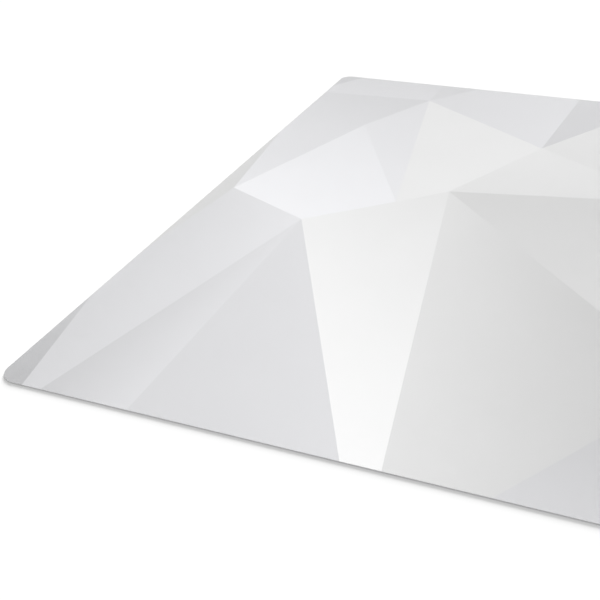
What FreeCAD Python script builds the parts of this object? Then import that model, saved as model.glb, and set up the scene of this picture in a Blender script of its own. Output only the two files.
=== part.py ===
"""Chair mat: a cold-laminated plastic floor mat, modelled layer by layer.

The mat is one die-cut lamination that lies flat on the floor.
Every layer is its own body with its own thickness, and all of them share the outline
that one cutting die gives them.

Frame: +Z is up, +Y runs along the long side, and the origin is the centre of the underside.
All sizes are millimetres.
"""
import FreeCAD
import Part
import Sketcher

import os

# --- Driving dimensions -----------------------------------------------------------------

DIMENSIONS = [
    ("mat_width", 1000.0, "short side, along X"),
    ("mat_length", 1400.0, "long side, along Y"),
    ("corner_radius", 25.0, "die radius at the four corners"),
    ("backing_thick", 0.25, "soft anti-slip coat, cured on the core"),
    ("core_thick", 1.20, "rigid sheet that carries the casters"),
    ("print_glue_thick", 0.03, "adhesive under the printed film"),
    ("film_thick", 0.10, "white film that carries the print"),
    ("top_glue_thick", 0.02, "adhesive under the wear film"),
    ("wear_thick", 0.20, "clear matt film the casters roll on"),
    ("rim_break", 0.08, "rounding of the wear film's upper rim"),
]

# Bottom to top: (node name, the alias that holds the layer's thickness).
LAYERS = [
    ("grip_backing", "backing_thick"),
    ("core_sheet", "core_thick"),
    ("print_adhesive", "print_glue_thick"),
    ("printed_film", "film_thick"),
    ("laminate_adhesive", "top_glue_thick"),
    ("wear_layer", "wear_thick"),
]

TOP_LAYER = "wear_layer"
OUT_DIR = "parts"


def make_sheet(doc):
    """Put every driving dimension in one spreadsheet, as plain numbers with word aliases."""
    sheet = doc.addObject("Spreadsheet::Sheet", "Dimensions")
    for row, (alias, value, meaning) in enumerate(DIMENSIONS, start=1):
        sheet.set("A%d" % row, alias)
        sheet.set("B%d" % row, str(value))
        sheet.set("C%d" % row, meaning)
        sheet.setAlias("B%d" % row, alias)
    doc.recompute()
    return sheet


def xy_plane(body):
    """Return the body's own XY plane."""
    return next(f for f in body.Origin.OriginFeatures if f.Role == "XY_Plane")


def draw_outline(body, name, sheet):
    """Draw a rectangle centred on the origin, its sides bound to the sheet."""
    sketch = body.newObject("Sketcher::SketchObject", name + "_outline")
    sketch.AttachmentSupport = [(xy_plane(body), "")]
    sketch.MapMode = "FlatFace"

    half_w = sheet.mat_width / 2
    half_l = sheet.mat_length / 2
    corners = [
        FreeCAD.Vector(-half_w, -half_l, 0),
        FreeCAD.Vector(half_w, -half_l, 0),
        FreeCAD.Vector(half_w, half_l, 0),
        FreeCAD.Vector(-half_w, half_l, 0),
    ]
    for start, end in zip(corners, corners[1:] + corners[:1]):
        sketch.addGeometry(Part.LineSegment(start, end), False)

    # The sides meet end to start; bottom and top are level, right and left upright.
    for side in range(4):
        sketch.addConstraint(Sketcher.Constraint("Coincident", side, 2, (side + 1) % 4, 1))
    for side in (0, 2):
        sketch.addConstraint(Sketcher.Constraint("Horizontal", side))
    for side in (1, 3):
        sketch.addConstraint(Sketcher.Constraint("Vertical", side))

    # Opposite corners mirror each other through the sketch origin.
    sketch.addConstraint(Sketcher.Constraint("Symmetric", 0, 1, 1, 2, -1, 1))

    width = sketch.addConstraint(Sketcher.Constraint("DistanceX", 0, 1, 0, 2, 2 * half_w))
    sketch.renameConstraint(width, "width")
    sketch.setExpression("Constraints.width", "Dimensions.mat_width")
    length = sketch.addConstraint(Sketcher.Constraint("DistanceY", 1, 1, 1, 2, 2 * half_l))
    sketch.renameConstraint(length, "length")
    sketch.setExpression("Constraints.length", "Dimensions.mat_length")
    return sketch


def edge_names(shape, wanted):
    """Name the edges of a shape that a test picks out."""
    return ["Edge%d" % (i + 1) for i, edge in enumerate(shape.Edges) if wanted(edge)]


def is_upright(edge):
    """True for a straight edge that runs along Z."""
    first, last = edge.Vertexes[0].Point, edge.Vertexes[-1].Point
    return abs(first.x - last.x) < 1e-6 and abs(first.y - last.y) < 1e-6


def add_rounding(body, base, alias, wanted):
    """Round the picked edges of a feature with a radius from the sheet."""
    fillet = body.newObject("PartDesign::Fillet", body.Label + "_" + alias)
    fillet.Base = (base, edge_names(base.Shape, wanted))
    fillet.setExpression("Radius", "Dimensions." + alias)
    return fillet


def make_layer(doc, sheet, name, thick, below):
    """Make one layer: outline, pad, die-cut corners, and its height in the stack."""
    body = doc.addObject("PartDesign::Body", name)
    body.Label = name
    sketch = draw_outline(body, name, sheet)

    pad = body.newObject("PartDesign::Pad", name + "_sheet")
    pad.Profile = sketch
    pad.setExpression("Length", "Dimensions." + thick)
    sketch.Visibility = False
    doc.recompute()

    top = add_rounding(body, pad, "corner_radius", is_upright)
    doc.recompute()

    if name == TOP_LAYER:
        top_z = top.Shape.BoundBox.ZMax
        add_rounding(body, top, "rim_break", lambda e: abs(e.BoundBox.ZMin - top_z) < 1e-6)

    if below:
        height = " + ".join("Dimensions." + alias for alias in below)
        body.setExpression("Placement.Base.z", height)
    return body


def check(doc, bodies):
    """Stop if any feature is in error or any body is not one valid solid."""
    for obj in doc.Objects:
        bad = [state for state in obj.State if state in ("Invalid", "Error")]
        if bad:
            raise RuntimeError("%s is %s" % (obj.Name, bad))
    for body in bodies:
        shape = body.Shape
        if shape.isNull() or not shape.isValid() or len(shape.Solids) != 1:
            raise RuntimeError("%s is not one valid solid" % body.Label)


doc = FreeCAD.newDocument("chair_mat")
sheet = make_sheet(doc)

bodies = []
below = []
for name, thick in LAYERS:
    bodies.append(make_layer(doc, sheet, name, thick, below))
    below.append(thick)

doc.recompute()
check(doc, bodies)

os.makedirs(OUT_DIR, exist_ok=True)
for body in bodies:
    body.Shape.exportStep(os.path.join(OUT_DIR, body.Label + ".step"))
    box = body.Shape.optimalBoundingBox()
    size = "%.1f x %.1f" % (box.XLength, box.YLength)
    print("%-18s z %.3f to %.3f  %s" % (body.Label, box.ZMin, box.ZMax, size))
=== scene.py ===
# %% [markdown]
# # A printed chair mat
# A chair mat is a thin plastic sheet that saves the floor from an office chair's casters.
# This one is a cold lamination: six layers, one cutting die, 1.8 mm in all.
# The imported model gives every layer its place. This lesson gives each one its look,
# and makes the grey and white faceted print, which is what people see first.

# %% Load the fixed frame
import math

import bpy
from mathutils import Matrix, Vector


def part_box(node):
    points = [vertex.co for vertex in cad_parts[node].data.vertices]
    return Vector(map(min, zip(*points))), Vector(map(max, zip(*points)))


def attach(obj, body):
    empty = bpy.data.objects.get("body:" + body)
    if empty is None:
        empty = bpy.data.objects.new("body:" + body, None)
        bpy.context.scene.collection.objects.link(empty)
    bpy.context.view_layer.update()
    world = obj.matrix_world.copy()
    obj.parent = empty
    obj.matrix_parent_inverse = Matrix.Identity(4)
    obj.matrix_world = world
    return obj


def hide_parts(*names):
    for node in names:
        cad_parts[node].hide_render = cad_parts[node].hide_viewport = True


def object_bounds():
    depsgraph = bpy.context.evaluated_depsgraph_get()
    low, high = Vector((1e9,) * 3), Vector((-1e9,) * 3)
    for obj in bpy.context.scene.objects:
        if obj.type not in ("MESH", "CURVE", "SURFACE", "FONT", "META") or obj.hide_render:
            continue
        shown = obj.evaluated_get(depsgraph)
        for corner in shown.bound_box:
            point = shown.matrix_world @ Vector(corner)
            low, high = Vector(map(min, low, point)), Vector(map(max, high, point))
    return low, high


MM = 0.001

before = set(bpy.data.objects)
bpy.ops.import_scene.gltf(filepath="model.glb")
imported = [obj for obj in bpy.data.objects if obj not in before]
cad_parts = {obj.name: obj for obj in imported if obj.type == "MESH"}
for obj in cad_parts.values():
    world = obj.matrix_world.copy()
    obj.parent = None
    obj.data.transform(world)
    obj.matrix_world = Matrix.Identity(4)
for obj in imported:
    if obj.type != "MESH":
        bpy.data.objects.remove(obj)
cad_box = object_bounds()
print("layers:", sorted(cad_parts))
print("outside box:", [list(corner) for corner in cad_box])

# %% [markdown]
# ## The camera
# The mat is seen from a standing person's side of the desk: low enough for the long side
# to run away into the distance, and turned about twenty degrees to the left.
# A slightly long lens keeps the corners square. The camera comes first, because
# everything after it is seen through it.

# %% Camera
CAMERA_AT = (0.1428, -1.3763, 0.6122)
TURNED_LEFT = math.radians(20.17)
TIPPED_DOWN = math.radians(30.29)
LENS = 51.72
FILM_WIDTH = 36.0

camera_data = bpy.data.cameras.new("camera")
camera_data.sensor_width = FILM_WIDTH
camera_data.lens = LENS
camera = bpy.data.objects.new("camera", camera_data)
camera.location = CAMERA_AT
camera.rotation_euler = (math.pi / 2 - TIPPED_DOWN, 0, TURNED_LEFT)
bpy.context.scene.collection.objects.link(camera)
bpy.context.scene.camera = camera
print("camera at", CAMERA_AT, "lens", LENS, "mm")

# %% [markdown]
# ## Floor and light
# The mat lies on a plain white floor. The light that gives a thin mat its edge is a broad
# one, low down behind it and a little to the left: it rakes over the sheet, so the near
# edge drops a soft shadow a centimetre wide, while the far and left edges have none.
# A sun lamp with a wide angle does this evenly along the whole edge. An area lamp would
# fade from one end to the other. The white world fills in from all round, and is seen
# behind the floor at the floor's own brightness, so that low views have no horizon line.

# %% Floor
FLOOR_SIZE = 40.0
FLOOR_WHITE = 0.84
FLOOR_ROUGHNESS = 0.9

bpy.ops.mesh.primitive_plane_add(size=FLOOR_SIZE, location=(0, 0, 0))
floor = bpy.context.object
floor.name = "floor"

floor_paint = bpy.data.materials.new("floor white")
floor_paint.use_nodes = True
floor_shader = floor_paint.node_tree.nodes["Principled BSDF"]
floor_shader.inputs["Base Color"].default_value = (FLOOR_WHITE, FLOOR_WHITE, FLOOR_WHITE, 1)
floor_shader.inputs["Roughness"].default_value = FLOOR_ROUGHNESS
floor_shader.inputs["Specular IOR Level"].default_value = 0.0
floor.data.materials.append(floor_paint)
print("floor:", FLOOR_SIZE, "m square")

# %% Low light from behind
LOW_LIGHT_POWER = 8.8
LOW_LIGHT_HEIGHT = math.radians(11)
LOW_LIGHT_TURN = math.radians(18)
LOW_LIGHT_SPREAD = math.radians(26)

low_light = bpy.data.lights.new("low light", "SUN")
low_light.energy = LOW_LIGHT_POWER
low_light.angle = LOW_LIGHT_SPREAD
low_lamp = bpy.data.objects.new("low light", low_light)
low_lamp.rotation_euler = (LOW_LIGHT_HEIGHT - math.pi / 2, 0, LOW_LIGHT_TURN)
low_lamp.visible_glossy = False
bpy.context.scene.collection.objects.link(low_lamp)
print("low light", round(math.degrees(LOW_LIGHT_HEIGHT)), "degrees up")

# %% White world
FILL_LIGHT = 0.70
BACKDROP_LIGHT = 1.06

world = bpy.data.worlds.new("white studio")
world.use_nodes = True
sky = world.node_tree
fill = sky.nodes["Background"]
fill.inputs["Color"].default_value = (1, 1, 1, 1)
fill.inputs["Strength"].default_value = FILL_LIGHT
backdrop = sky.nodes.new("ShaderNodeBackground")
backdrop.inputs["Color"].default_value = (1, 1, 1, 1)
backdrop.inputs["Strength"].default_value = BACKDROP_LIGHT
seen = sky.nodes.new("ShaderNodeLightPath")
either = sky.nodes.new("ShaderNodeMixShader")
sky.links.new(seen.outputs["Is Camera Ray"], either.inputs["Fac"])
sky.links.new(fill.outputs["Background"], either.inputs[1])
sky.links.new(backdrop.outputs["Background"], either.inputs[2])
sky.links.new(either.outputs["Shader"], sky.nodes["World Output"].inputs["Surface"])
bpy.context.scene.world = world
bpy.context.scene.view_settings.view_transform = "Standard"
print("world gives", FILL_LIGHT, "and is seen at", BACKDROP_LIGHT)

# %% [markdown]
# ## Picking edges and faces
# Edit-mode tools act on whatever is selected. By hand one clicks the four upright edges,
# or the top face. In code they are picked by where they are and which way they point.
# These helpers clear the selection, pick what a test wants, and open edit mode.
# A face counts as looking up when its normal's height is more than 0.9.

# %% Selection helpers
SAME_PLACE = 0.001 * MM
FACES_UP = 0.9


def open_with(piece, mode, wanted):
    """Opens a piece in edit mode with only the wanted edges or faces selected."""
    bpy.ops.object.select_all(action="DESELECT")
    bpy.context.view_layer.objects.active = piece
    piece.select_set(True)
    bpy.ops.object.mode_set(mode="EDIT")
    bpy.ops.mesh.select_mode(type=mode)
    bpy.ops.mesh.select_all(action="DESELECT")
    bpy.ops.object.mode_set(mode="OBJECT")
    parts = piece.data.edges if mode == "EDGE" else piece.data.polygons
    for part in parts:
        part.select = wanted(part)
    bpy.ops.object.mode_set(mode="EDIT")


def close():
    """Leaves edit mode."""
    bpy.ops.object.mode_set(mode="OBJECT")


def ends(piece, edge):
    """The two end points of an edge."""
    first, last = edge.vertices
    return piece.data.vertices[first].co, piece.data.vertices[last].co


print("places closer than", SAME_PLACE, "m count as the same")

# %% [markdown]
# ## One layer of the sheet
# Every layer is the same outline at its own height, because one die cuts them together.
# A cube is added at the layer's place and size, and its four upright edges are bevelled
# to the die's 25 mm radius. Twenty-four steps to a corner keep the arc round up close.
# A circle-and-bridge outline would work too, but the bevel keeps the sides exactly straight.

# %% Layer maker
CORNER_RADIUS = 25 * MM
CORNER_STEPS = 24


def make_layer(node, gap=0.0):
    """A rounded sheet that fills a CAD node's height, less a gap above and below."""
    low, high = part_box(node)
    low.z += gap
    high.z -= gap
    bpy.ops.object.select_all(action="DESELECT")
    bpy.ops.mesh.primitive_cube_add(size=1, location=(low + high) / 2, scale=high - low)
    layer = bpy.context.object
    layer.name = node + "_look"
    bpy.ops.object.transform_apply(location=True, rotation=True, scale=True)

    def upright(edge):
        start, end = ends(layer, edge)
        return (start.xy - end.xy).length < SAME_PLACE

    open_with(layer, "EDGE", upright)
    bpy.ops.mesh.bevel(offset=CORNER_RADIUS, segments=CORNER_STEPS, affect="EDGES")
    close()
    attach(layer, "root")
    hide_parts(node)
    thick = (high.z - low.z) / MM
    print(f"{layer.name}: {thick:.3f} mm thick, {len(layer.data.polygons)} faces")
    return layer


# %% [markdown]
# ## Grain, shared by every plastic
# None of these plastics is a flat colour close up. Each has a fine grain from its roller
# and a faint cloudiness from one hand's width to the next. That is one node group with
# its own sizes for each material: a fine noise for the height of the grain, which can also
# paint shade into its hollows, and a broad noise that shifts the tone and roughness a little.
# A squeeze under 1 draws the grain out upwards, which turns it into the marks that a die
# leaves down a cut edge.

# %% Grain group: what goes in and what comes out
grain = bpy.data.node_groups.new("plastic grain", "ShaderNodeTree")
for label, start in (
    ("Grain Scale", 1500.0),
    ("Upright Squeeze", 1.0),
    ("Cloud Scale", 6.0),
    ("Cloud Depth", 0.02),
    # The next input paints shade into the grain's hollows, darker where the fine noise is low.
    ("Hollow Shade", 0.0),
    ("Roughness", 0.5),
    ("Roughness Swing", 0.05),
):
    socket = grain.interface.new_socket(label, in_out="INPUT", socket_type="NodeSocketFloat")
    socket.default_value = start
for label in ("Height", "Tone", "Roughness"):
    grain.interface.new_socket(label, in_out="OUTPUT", socket_type="NodeSocketFloat")
print("grain group:", [item.name for item in grain.interface.items_tree])


# %% Grain group: its nodes
NOISE_MIDDLE = 0.5


def add_node(tree, kind, **settings):
    """Adds a node and sets its properties."""
    node = tree.nodes.new(kind)
    for name, value in settings.items():
        setattr(node, name, value)
    return node


def add_swing():
    """Adds a node that makes a noise swing about zero, not about its middle."""
    node = add_node(grain, "ShaderNodeMath", operation="SUBTRACT")
    node.inputs[1].default_value = NOISE_MIDDLE
    return node


group_in = add_node(grain, "NodeGroupInput")
group_out = add_node(grain, "NodeGroupOutput")
place = add_node(grain, "ShaderNodeTexCoord")
squeeze = add_node(grain, "ShaderNodeCombineXYZ")
squeeze.inputs["X"].default_value = 1.0
squeeze.inputs["Y"].default_value = 1.0
drawn = add_node(grain, "ShaderNodeVectorMath", operation="MULTIPLY")
fine = add_node(grain, "ShaderNodeTexNoise")
fine.inputs["Detail"].default_value = 2.0
cloud = add_node(grain, "ShaderNodeTexNoise")
cloud.inputs["Detail"].default_value = 3.0
fine_swing = add_swing()
cloud_swing = add_swing()
cloudy = add_node(grain, "ShaderNodeMath", operation="MULTIPLY_ADD")
cloudy.inputs[2].default_value = 1.0
# The tone is the cloud's tone plus shade painted into the grain's hollows from the fine noise.
tone = add_node(grain, "ShaderNodeMath", operation="MULTIPLY_ADD")
rough = add_node(grain, "ShaderNodeMath", operation="MULTIPLY_ADD")
for out, inp in (
    (group_in.outputs["Upright Squeeze"], squeeze.inputs["Z"]),
    (place.outputs["Object"], drawn.inputs[0]),
    (squeeze.outputs["Vector"], drawn.inputs[1]),
    (drawn.outputs["Vector"], fine.inputs["Vector"]),
    (place.outputs["Object"], cloud.inputs["Vector"]),
    (group_in.outputs["Grain Scale"], fine.inputs["Scale"]),
    (group_in.outputs["Cloud Scale"], cloud.inputs["Scale"]),
    (fine.outputs["Fac"], fine_swing.inputs[0]),
    (cloud.outputs["Fac"], cloud_swing.inputs[0]),
    (cloud_swing.outputs[0], cloudy.inputs[0]),
    (group_in.outputs["Cloud Depth"], cloudy.inputs[1]),
    (fine_swing.outputs[0], tone.inputs[0]),
    (group_in.outputs["Hollow Shade"], tone.inputs[1]),
    (cloudy.outputs[0], tone.inputs[2]),
    (cloud_swing.outputs[0], rough.inputs[0]),
    (group_in.outputs["Roughness Swing"], rough.inputs[1]),
    (group_in.outputs["Roughness"], rough.inputs[2]),
    (fine.outputs["Fac"], group_out.inputs["Height"]),
    (tone.outputs[0], group_out.inputs["Tone"]),
    (rough.outputs[0], group_out.inputs["Roughness"]),
):
    grain.links.new(out, inp)
print(len(grain.nodes), "nodes in the grain group")

# %% [markdown]
# ## One recipe for every plastic
# Each material holds its own Principled shader and one node that calls the grain group.
# The grain's tone, with the shade painted into its hollows, multiplies the colour, its height
# goes through a Bump node, and its roughness goes straight in. Only the numbers differ from
# one plastic to the next: the colour, the size and depth of the grain, how much shade is
# painted into its hollows, and how clear the plastic is.


# %% Plastic maker
def make_plastic(
    name, colour, roughness, grain_mm, depth_mm, cloud=0.03, hollow_shade=0.0, squeeze=1.0, alpha=1.0
):
    """Makes a plastic with the shared grain. The colour is linear red, green and blue."""
    material = bpy.data.materials.new(name)
    material.use_nodes = True
    tree = material.node_tree
    shader = tree.nodes["Principled BSDF"]
    shader.inputs["Alpha"].default_value = alpha

    texture = add_node(tree, "ShaderNodeGroup", node_tree=grain)
    texture.inputs["Grain Scale"].default_value = 1 / (grain_mm * MM)
    texture.inputs["Cloud Depth"].default_value = cloud
    # How much shade is painted into the grain's hollows.
    texture.inputs["Hollow Shade"].default_value = hollow_shade
    texture.inputs["Upright Squeeze"].default_value = squeeze
    texture.inputs["Roughness"].default_value = roughness

    shade = add_node(tree, "ShaderNodeVectorMath", operation="SCALE")
    shade.inputs[0].default_value = colour
    bump = add_node(tree, "ShaderNodeBump")
    bump.inputs["Distance"].default_value = depth_mm * MM
    tree.links.new(texture.outputs["Tone"], shade.inputs["Scale"])
    tree.links.new(shade.outputs["Vector"], shader.inputs["Base Color"])
    tree.links.new(texture.outputs["Roughness"], shader.inputs["Roughness"])
    tree.links.new(texture.outputs["Height"], bump.inputs["Height"])
    tree.links.new(bump.outputs["Normal"], shader.inputs["Normal"])
    print(f"{name}: roughness {roughness}, grain {grain_mm} mm")
    return material, shade


# %% [markdown]
# ## The grip coat
# The underside is a soft coat poured on the core and cured there, so it needs no glue.
# Its pebble grain is coarser than the film's, and it is the only layer the floor feels.

# %% Grip coat
grip = make_layer("grip_backing")
# The grip coat's pebble grain has shade painted into its hollows.
grip_coat, _ = make_plastic(
    "grip coat", (0.42, 0.43, 0.44), 0.85, grain_mm=1.2, depth_mm=0.4, cloud=0.15, hollow_shade=0.5
)
grip.data.materials.append(grip_coat)

# %% [markdown]
# ## The core sheet
# A rigid light grey sheet does the work. Only its cut edge shows, so its grain is drawn out
# into the faint upright drag of the die, with shade painted into the hollows of the marks.
# Its grey is partly the sheet's own and partly painted shade. It is set dark so that the cut
# edge shows as a shade line along the mat's rim.

# %% Core sheet
core = make_layer("core_sheet")
# The core's grey is partly painted shade, set dark for the cut edge to show as a shade line.
core_grey_and_edge_shade, _ = make_plastic(
    "core grey and edge shade", (0.6, 0.6, 0.6), 0.45, grain_mm=0.25, depth_mm=0.1, hollow_shade=0.25, squeeze=0.1
)
core.data.materials.append(core_grey_and_edge_shade)

# %% [markdown]
# ## Two bond lines
# The adhesives are thinner than a hair. The lower one is sealed in, and all that shows is
# its milky cut edge. The upper one lies over the print, so it is clear, and it stops a few
# microns short of its neighbours: faces in exactly the same plane can't be told apart.

# %% Adhesives
BOND_GAP = 0.005 * MM

lower_bond = make_layer("print_adhesive")
milky_bond, _ = make_plastic("milky bond", (0.6, 0.6, 0.58), 0.3, grain_mm=2.0, depth_mm=0.002)
lower_bond.data.materials.append(milky_bond)

upper_bond = make_layer("laminate_adhesive", BOND_GAP)
clear_bond, _ = make_plastic(
    "clear bond", (0.95, 0.95, 0.95), 0.25, grain_mm=2.0, depth_mm=0.002, alpha=0.02
)
upper_bond.data.materials.append(clear_bond)

# %% [markdown]
# ## The print: where the folds meet
# The print imitates folded paper: straight creases run between a few meeting points, and
# every facet between them has its own grey. Points are named by where they lie: `i` inside
# the mat, `l`, `n`, `r` and `f` along the left, near, right and far edges, and `c` for the
# corners. All are in millimetres from the middle of the mat, whose edges come from the
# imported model.

# %% Meeting points
RIGHT, FAR = (round(reach / MM) for reach in cad_box[1][:2])
LEFT, NEAR = -RIGHT, -FAR

POINTS = {
    "i1": (-252, 571), "i2": (30, 339), "i3": (-469, -58), "i4": (-100, 59), "i5": (-308, -142),
    "i6": (-178, -18), "i7": (-345, 355), "i8": (283, 146), "i9": (295, -423),
    "l1": (LEFT, 609), "l2": (LEFT, 553), "l3": (LEFT, 257), "l4": (LEFT, -330),
    "l5": (LEFT, -484),
    "f1": (-451, FAR), "f2": (-246, FAR), "f3": (-160, FAR), "f4": (76, FAR), "f5": (240, FAR),
    "f6": (390, FAR),
    "n1": (-462, NEAR), "n2": (-436, NEAR), "n3": (-319, NEAR), "n4": (-61, NEAR),
    "n5": (-15, NEAR), "n6": (101, NEAR), "n7": (355, NEAR),
    "r1": (RIGHT, 470), "r2": (RIGHT, 40), "r3": (RIGHT, -255), "r4": (RIGHT, -520),
    "c_near_left": (LEFT, NEAR), "c_near_right": (RIGHT, NEAR),
    "c_far_left": (LEFT, FAR), "c_far_right": (RIGHT, FAR),
}
print(len(POINTS), "meeting points")

# %% [markdown]
# ## The print: the facets
# Each facet lists its corners, its grey at the middle on the usual 0 to 255 scale, and how
# much that grey changes over 100 mm to the right and to the far side, because the printer's
# artwork shades every facet a little, as light would shade folded paper.
# The last value is 1 for facets printed in the cooler, faintly blue grey. The facets along
# the far edge are set a little darker than the print, as painted shade against the sheen there.

# %% Facets
FACETS = [
    ("i5 i6 i4 n5 n4", 242, -2.5, -3.0, 0),
    ("i3 i7 i6 i5", 241, -0.5, -3.0, 1),
    ("i4 i9 n6 n5", 220, -8.0, -1.5, 0),
    ("i5 n4 n3", 225, 3.0, 1.0, 1),
    ("i5 n3 n2", 221.5, 15.5, 0.0, 1),
    ("i3 i5 n2 n1 l5 l4", 222, 7.0, 1.0, 1),
    ("l3 i3 l4", 218, 0.0, 0.0, 0),
    ("l5 n1 c_near_left", 198, 2.0, 5.0, 1),
    ("l2 i1 i7 i3 l3", 222.5, -1.0, -3.0, 1),
    ("l1 f1 c_far_left", 208, 0.0, 0.0, 1),
    # These five facets along the far edge are set a little darker than the print: painted shade
    # that offsets the sheen the light lays on the far part of the mat.
    ("l1 f1 f2 i1 l2", 219.5, 0.0, -3.0, 1),
    ("i1 f2 f3", 215, -1.0, -1.0, 1),
    ("i1 f3 f4 i2", 224, 2.0, -1.0, 1),
    ("i2 f4 f5", 215, 0.5, 0.5, 1),
    ("i2 f5 f6 i8", 227.5, -1.0, 1.0, 0),
    ("i1 i2 i4 i6", 234.5, 0.5, -1.0, 0),
    ("i1 i6 i7", 229.5, -0.5, -2.0, 1),
    ("i2 i8 i4", 229, -1.0, 1.5, 0),
    ("i4 i8 i9", 217, -0.5, -1.5, 0),
    ("i9 n6 n7", 207, -4.0, -6.5, 1),
    ("i8 r1 c_far_right f6", 221, -2.0, 1.5, 1),
    ("i8 r2 r1", 213, 2.0, -1.0, 0),
    ("i8 i9 r3 r2", 226, 3.0, 1.0, 1),
    ("i9 r4 r3", 232, -2.0, -2.0, 0),
    ("i9 n7 c_near_right r4", 219, 3.0, 2.5, 1),
]
print(len(FACETS), "facets")

# %% [markdown]
# ## The print: cutting the creases
# The film's top face is cut along the creases, so that every crease is a real edge and
# stays sharp however close one looks. A drawn texture would blur. Bisect cuts the selected
# faces along a whole line, so for each crease only the faces that it crosses are selected.

# %% Flat geometry helpers
TOUCH = 0.1 * MM


def point(name):
    """A meeting point in metres."""
    x, y = POINTS[name]
    return Vector((x * MM, y * MM))


def side(start, end, spot):
    """How far a spot lies to the left of the line from start to end."""
    along = (end - start).normalized()
    return along.x * (spot.y - start.y) - along.y * (spot.x - start.x)


def crossed(outline, start, end):
    """True if the crease from start to end runs through the convex outline, not beside it."""
    along = (end - start).normalized()
    sides = [side(start, end, spot) for spot in outline]
    if min(sides) > -TOUCH or max(sides) < TOUCH:
        return False
    # Where the outline's edges meet the crease's line, measured along the crease.
    meets = []
    for i, here in enumerate(sides):
        there = sides[i - 1]
        if (here > 0) != (there > 0):
            share = here / (here - there)
            spot = outline[i].lerp(outline[i - 1], share)
            meets.append((spot - start).dot(along))
    return min(max(meets), (end - start).length) - max(min(meets), 0) > TOUCH


print("a crease that only touches a face by", TOUCH, "m doesn't cut it")


# %% List the creases
def on_rim(first, last):
    """True if both points lie on one edge of the mat, where there is nothing to cut."""
    (ax, ay), (bx, by) = POINTS[first], POINTS[last]
    return (ax == bx and ax in (LEFT, RIGHT)) or (ay == by and ay in (NEAR, FAR))


creases = set()
for corners, *_ in FACETS:
    names = corners.split()
    for first, last in zip(names, names[1:] + names[:1]):
        if not on_rim(first, last):
            creases.add(tuple(sorted((first, last))))
print(len(creases), "creases")


# %% Cut the printed film
film = make_layer("printed_film")
film_top = max(v.co.z for v in film.data.vertices)


def outline_of(piece, face):
    """A face's corners seen from above."""
    return [piece.data.vertices[i].co.xy for i in face.vertices]


for first, last in sorted(creases):
    start, end = point(first), point(last)
    across = (end - start).orthogonal().normalized()
    open_with(
        film,
        "FACE",
        lambda face: face.normal.z > FACES_UP and crossed(outline_of(film, face), start, end),
    )
    bpy.ops.mesh.bisect(
        plane_co=(start.x, start.y, film_top),
        plane_no=(across.x, across.y, 0),
        threshold=SAME_PLACE,
    )
    close()
print(len(film.data.polygons), "faces after the cuts")

# %% [markdown]
# ## The print: which facet a face belongs to
# A cut runs right across a selected face, so it can leave a tail past the end of its
# crease. Each face therefore looks up the facet that it lies in, and an edge with the same
# facet on both sides is a tail and is dissolved.


# %% Find the facet under a face
def signed_area(outline):
    """Twice the outline's area, positive when it runs anticlockwise."""
    return sum(a.x * b.y - b.x * a.y for a, b in zip(outline, outline[1:] + outline[:1]))


def inside(outline, spot):
    """True if the spot lies in the outline."""
    odd = False
    for a, b in zip(outline, outline[1:] + outline[:1]):
        if (a.y > spot.y) != (b.y > spot.y):
            if spot.x < a.x + (spot.y - a.y) / (b.y - a.y) * (b.x - a.x):
                odd = not odd
    return odd


facet_outlines = [[point(name) for name in corners.split()] for corners, *_ in FACETS]
printed_area = sum(abs(signed_area(outline)) / 2 for outline in facet_outlines)
print(f"facets cover {printed_area:.4f} square metres")


def facet_of(face):
    """The number of the facet under the middle of a face, or None off the top."""
    if face.normal.z < FACES_UP:
        return None
    for number, outline in enumerate(facet_outlines):
        if inside(outline, face.center.xy):
            return number
    raise ValueError(f"no facet at {face.center}")


# %% Dissolve the tails
owners = {}
for face in film.data.polygons:
    for key in face.edge_keys:
        owners.setdefault(key, []).append(facet_of(face))


def is_tail(edge):
    """True for a cut that has the same facet on both sides."""
    one, other = owners[edge.key]
    return one is not None and one == other


open_with(film, "EDGE", is_tail)
bpy.ops.mesh.dissolve_edges(use_verts=False)
close()
top_faces = [face for face in film.data.polygons if face.normal.z > FACES_UP]
print(len(top_faces), "facets on the film")

# %% [markdown]
# ## The print: the greys
# The greys are stored in a colour attribute at the corners of each facet, so that one
# material serves them all and each facet's gentle shading is exact. A grey on the 0 to 255
# scale isn't an amount of light: 128 reflects only a fifth of what 255 does, so the greys
# are first turned into linear light. Then the haze that the wear film lays over the print is
# taken off, and the rest is divided by how much light this studio puts on the print.
# The film's cut edge has no print, and gets a grey of its own.

# %% Store the greys
HAZE_LIGHT = 0.202
LIGHT_ON_PRINT = 0.82
NEUTRAL = (1, 1, 1)
COOL = (0.990, 0.991, 1.019)
SHADING_REACH = 100 * MM
CUT_EDGE_INK = (0.5, 0.5, 0.5, 1)


def linear(grey):
    """The light that a grey from 0 to 255 stands for, by the sRGB curve."""
    share = grey / 255
    return share / 12.92 if share <= 0.04045 else ((share + 0.055) / 1.055) ** 2.4


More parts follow.
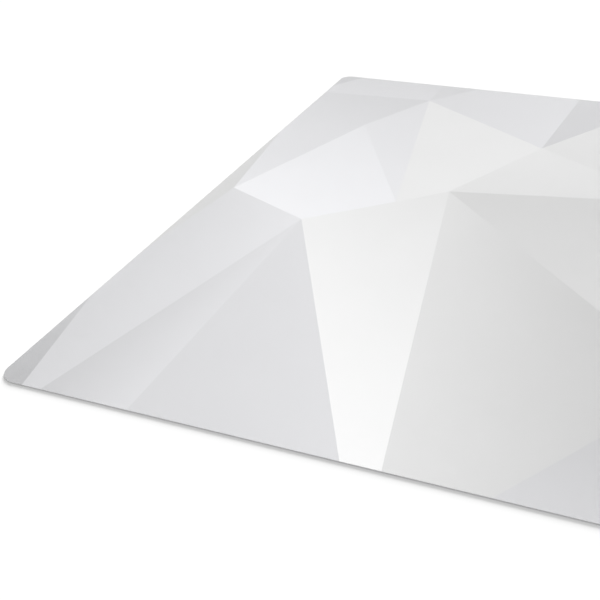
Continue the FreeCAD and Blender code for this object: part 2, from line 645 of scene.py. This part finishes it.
ink = film.data.color_attributes.new("ink", "FLOAT_COLOR", "CORNER")
for face in film.data.polygons:
    number = facet_of(face)
    for loop in face.loop_indices:
        if number is None:
            ink.data[loop].color = CUT_EDGE_INK
            continue
        _, grey, right, far, cool = FACETS[number]
        outline = facet_outlines[number]
        middle = sum(outline, Vector((0, 0))) / len(outline)
        corner = film.data.vertices[film.data.loops[loop].vertex_index].co.xy
        away = (corner - middle) / SHADING_REACH
        light = linear(grey + right * away.x + far * away.y)
        light = (light - HAZE_LIGHT) / LIGHT_ON_PRINT
        tint = COOL if cool else NEUTRAL
        ink.data[loop].color = (*(light * share for share in tint), 1)
print("greys stored on", len(ink.data), "corners")

# %% [markdown]
# ## The print: its material
# The print is one more plastic of the same recipe, with the stored greys in place of a
# fixed colour. The wear film is pressed on to it, so it takes the wear film's fine grain.

# %% Print material
print_ink, ink_shade = make_plastic("printed film", (1, 1, 1), 0.55, grain_mm=0.5, depth_mm=0.04)
ink_node = add_node(print_ink.node_tree, "ShaderNodeVertexColor", layer_name="ink")
print_ink.node_tree.links.new(ink_node.outputs["Color"], ink_shade.inputs[0])
film.data.materials.append(print_ink)
print("print material reads", ink_node.layer_name)

# %% [markdown]
# ## The wear film
# The top film is clear, with a fine matt grain that breaks up reflections. It is what the
# casters roll on, so its upper rim is rounded a little and doesn't catch.
# Its face lets nearly all the light through, and the small rest is its haze.
# The die leaves its cut edge frosted, so the edge has a cloudier, greyer material.

# %% Wear film
RIM_ROUND = 0.08 * MM
RIM_STEPS = 3
SMOOTH_UNDER = math.radians(30)

wear = make_layer("wear_layer")
wear_top = max(v.co.z for v in wear.data.vertices)


def on_top_rim(edge):
    """True for an edge round the upper face."""
    start, end = ends(wear, edge)
    return min(start.z, end.z) > wear_top - SAME_PLACE


open_with(wear, "EDGE", on_top_rim)
bpy.ops.mesh.bevel(offset=RIM_ROUND, segments=RIM_STEPS, affect="EDGES")
close()
bpy.ops.object.shade_smooth_by_angle(angle=SMOOTH_UNDER)
print(f"rim rounded {RIM_ROUND / MM:.2f} mm")

# %% Wear film materials
STEEP = 0.5

clear_matt, _ = make_plastic(
    "wear film", (0.95, 0.95, 0.95), 0.5, grain_mm=0.5, depth_mm=0.03, alpha=0.07
)
frosted, _ = make_plastic(
    "wear film cut edge", (0.45, 0.45, 0.45), 0.4,
    grain_mm=0.25, depth_mm=0.05, squeeze=0.1, alpha=0.55,
)
wear.data.materials.append(clear_matt)
wear.data.materials.append(frosted)
for face in wear.data.polygons:
    face.material_index = int(abs(face.normal.z) < STEEP)
print([material.name for material in wear.data.materials])
